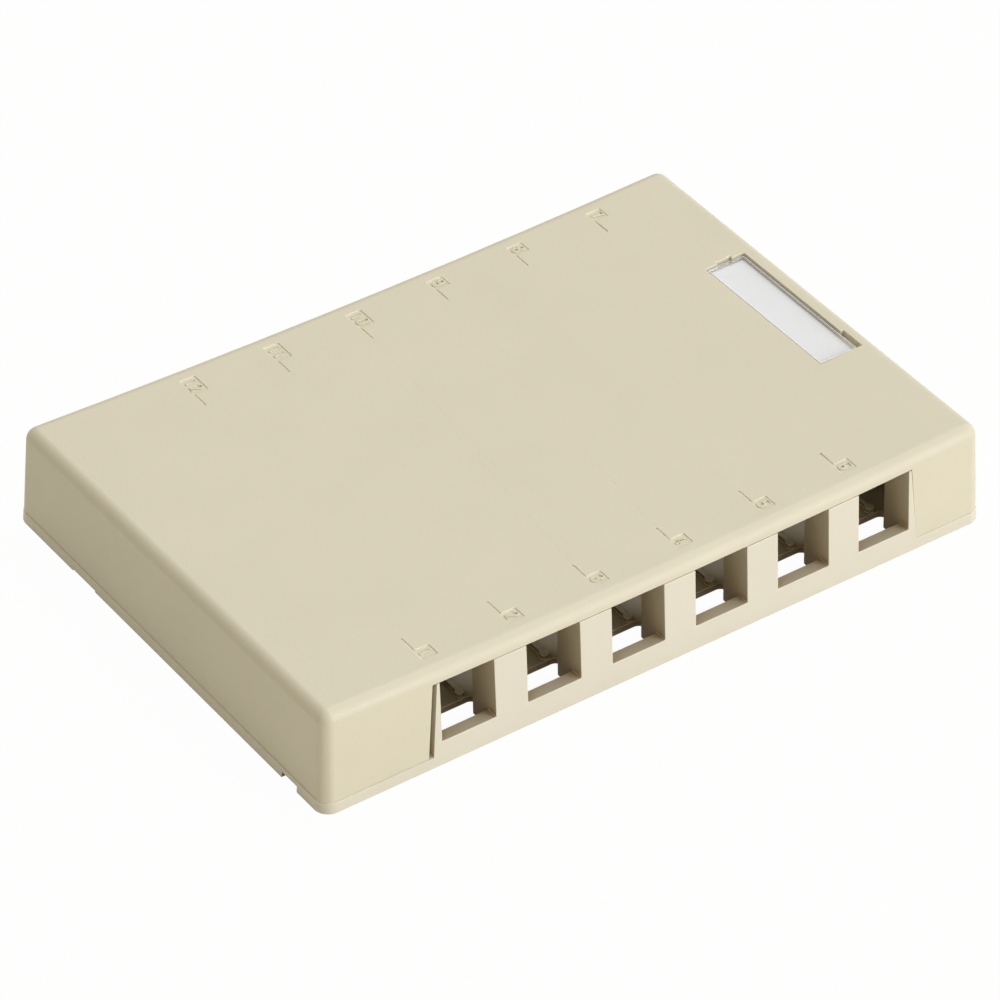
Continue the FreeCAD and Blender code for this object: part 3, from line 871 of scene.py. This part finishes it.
class JACKBOX_OT_make_numbers(bpy.types.Operator):
    """Raise the port numbers from the floors of their sunk panels"""
    bl_idname = "jackbox.make_numbers"
    bl_label = "Make Numbers"

    def execute(self, context):
        sizes = context.scene.jack_box.numbers
        cover = bpy.data.objects["cover_moulding"]
        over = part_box("cover")[1].z + MM
        strokes = stroke_curve("number_strokes", number_strokes(sizes), over)
        modifier = strokes.modifiers.new("raised", "NODES")
        modifier.node_group = raised_line_tree()
        set_input(modifier, "Surface", cover)
        set_input(modifier, "Stroke Width", sizes.stroke_width)
        set_input(modifier, "Stroke Rise", sizes.stroke_rise)
        set_input(modifier, "Material", bpy.data.materials["cover_ivory"])
        numbers = mesh_from_curve(strokes, "port_numbers")
        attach(numbers, "cover")
        return {"FINISHED"}


class JACKBOX_OT_make_label(bpy.types.Operator):
    """Make the paper card and the clear window over it"""
    bl_idname = "jackbox.make_label"
    bl_label = "Make Label"

    def execute(self, context):
        sizes = context.scene.jack_box.label
        make_card(sizes)
        make_window(sizes)
        return {"FINISHED"}


class JACKBOX_OT_make_studio(bpy.types.Operator):
    """Set up the floor, the lights and the camera"""
    bl_idname = "jackbox.make_studio"
    bl_label = "Make Studio"

    def execute(self, context):
        studio = context.scene.jack_box.studio
        make_floor(studio)
        make_sky(studio)
        make_light("key_light", studio.key_power, KEY_SIZE, KEY_DIRECTION)
        make_light("top_light", studio.top_power, TOP_SIZE, TOP_DIRECTION)
        make_camera(studio)
        context.scene.view_settings.view_transform = "Standard"
        return {"FINISHED"}


# Studio

FLOOR_SIZE = 12.0
FLOOR_DROP = 0.05 * MM                  # floor, below the underside of the base
KEY_DIRECTION = Vector((0.48, -0.8, 0.36))
TOP_DIRECTION = Vector((0.3, 0.35, 0.89))
LAMP_COLOUR = (0.952, 0.962, 1.0)
SKY_COLOUR = (1.0, 0.92, 0.72)
FLOOR_COLOUR = (0.8, 0.765, 0.68)
FLOOR_DARK = 0.98                       # darkest and lightest shade of the floor's cloudy tone
FLOOR_LIGHT = 1.02
FLOOR_CLOUD_SIZE = 0.4
WHITE = (1, 1, 1, 1)
LAMP_DISTANCE = 2.6
KEY_SIZE = 1.8
TOP_SIZE = 1.6
AIM = Vector((1.3 * MM, 2.1 * MM, 3.1 * MM))        # point that the camera aims at


def seen_directly(tree):
    """1 for rays that show the background: from the camera, in a gloss or through glass."""
    path = add_node(tree, "ShaderNodeLightPath").outputs
    first = add_node(tree, "ShaderNodeMath", {0: path["Is Camera Ray"], 1: path["Is Glossy Ray"]},
                     operation="MAXIMUM")
    both = add_node(tree, "ShaderNodeMath", {0: first.outputs[0], 1: path["Is Transmission Ray"]},
                    operation="MAXIMUM")
    return both.outputs[0]


def mixed_surface(tree, output_kind, factor, first, second):
    """Links the output to the first shader at factor 0, and to the second at 1."""
    both = add_node(tree, "ShaderNodeMixShader",
                    {0: factor, 1: first.outputs[0], 2: second.outputs[0]})
    add_node(tree, output_kind, {"Surface": both.outputs[0]})


def make_floor(studio):
    """A plain pale floor that stays nearly white to the eye, and still takes the box's shadow."""
    material = bpy.data.materials.new("studio_floor")
    tree = empty_tree(material)
    cloud = noise(tree, object_place(tree), FLOOR_CLOUD_SIZE)
    tone = mixed_colour(tree, cloud, shade(FLOOR_COLOUR, FLOOR_DARK), shade(FLOOR_COLOUR, FLOOR_LIGHT))
    paint = add_node(tree, "ShaderNodeBsdfDiffuse", {"Color": tone})
    glow = add_node(tree, "ShaderNodeEmission", {"Color": WHITE, "Strength": 1.0})
    share = add_node(tree, "ShaderNodeMath", {0: seen_directly(tree), 1: studio.floor_glow},
                     operation="MULTIPLY")
    mixed_surface(tree, "ShaderNodeOutputMaterial", share.outputs[0], paint, glow)
    bm = bmesh.new()
    bmesh.ops.create_grid(bm, x_segments=1, y_segments=1, size=FLOOR_SIZE / 2)
    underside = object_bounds()[0][2]
    for vert in bm.verts:
        vert.co.z = underside - FLOOR_DROP
    new_piece("studio_floor", bm, [material])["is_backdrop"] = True


def make_sky(studio):
    """Soft light from all round, behind a white background."""
    world = bpy.data.worlds.new("studio_sky")
    bpy.context.scene.world = world
    tree = empty_tree(world)
    dim = add_node(tree, "ShaderNodeBackground",
                   {"Color": (*SKY_COLOUR, 1), "Strength": studio.sky_strength})
    white = add_node(tree, "ShaderNodeBackground", {"Color": WHITE, "Strength": 1.0})
    path = add_node(tree, "ShaderNodeLightPath").outputs
    mixed_surface(tree, "ShaderNodeOutputWorld", path["Is Camera Ray"], dim, white)


def make_light(name, power, size, direction):
    """A square light in a direction from the origin, facing back to it."""
    lamp = bpy.data.lights.new(name, "AREA")
    lamp.energy = power
    lamp.color = LAMP_COLOUR
    lamp.shape = "SQUARE"
    lamp.size = size
    away = direction.normalized()
    turn = away.to_track_quat("Z", "Y").to_matrix().to_4x4()
    light = new_object(name, lamp)
    light.matrix_world = Matrix.Translation(away * LAMP_DISTANCE) @ turn


def make_camera(studio):
    """The camera, at its distance from the point that it aims at."""
    lens = bpy.data.cameras.new("camera")
    lens.lens = studio.focal_length
    flat = math.cos(studio.elevation)
    forward = Vector((flat * math.sin(studio.azimuth), flat * math.cos(studio.azimuth),
                      -math.sin(studio.elevation)))
    level = Vector((math.cos(studio.azimuth), -math.sin(studio.azimuth), 0))
    upward = level.cross(forward)
    right = level * math.cos(studio.roll) + upward * math.sin(studio.roll)
    up = right.cross(forward)
    turn = Matrix((right, up, -forward)).transposed().to_4x4()
    camera = new_object("camera", lens)
    camera.matrix_world = Matrix.Translation(AIM - forward * studio.distance) @ turn
    bpy.context.scene.camera = camera


# Add-on

OPERATORS = (JACKBOX_OT_make_studio, JACKBOX_OT_make_base, JACKBOX_OT_make_cover,
             JACKBOX_OT_make_numbers, JACKBOX_OT_make_label)


class JACKBOX_PT_build(bpy.types.Panel):
    bl_idname = "JACKBOX_PT_build"
    bl_label = "Jack Box"
    bl_space_type = "VIEW_3D"
    bl_region_type = "UI"
    bl_category = "Jack Box"

    def draw(self, context):
        settings = context.scene.jack_box
        for group in (settings.plastic, settings.numbers, settings.label, settings.studio):
            column = self.layout.column()
            for name in group.__annotations__:
                column.prop(group, name)
        for operator in OPERATORS:
            self.layout.operator(operator.bl_idname)


CLASSES = (PlasticFinish, NumberSizes, LabelSizes, StudioSettings, JackBoxSettings,
           *OPERATORS, JACKBOX_PT_build)


def register():
    for cls in CLASSES:
        bpy.utils.register_class(cls)
    bpy.types.Scene.jack_box = PointerProperty(type=JackBoxSettings)


def unregister():
    del bpy.types.Scene.jack_box
    for cls in reversed(CLASSES):
        bpy.utils.unregister_class(cls)


def main():
    """Makes every piece and the studio."""
    register()
    for operator in OPERATORS:
        group, name = operator.bl_idname.split(".")
        getattr(getattr(bpy.ops, group), name)()


if __name__ == "__main__":
    main()
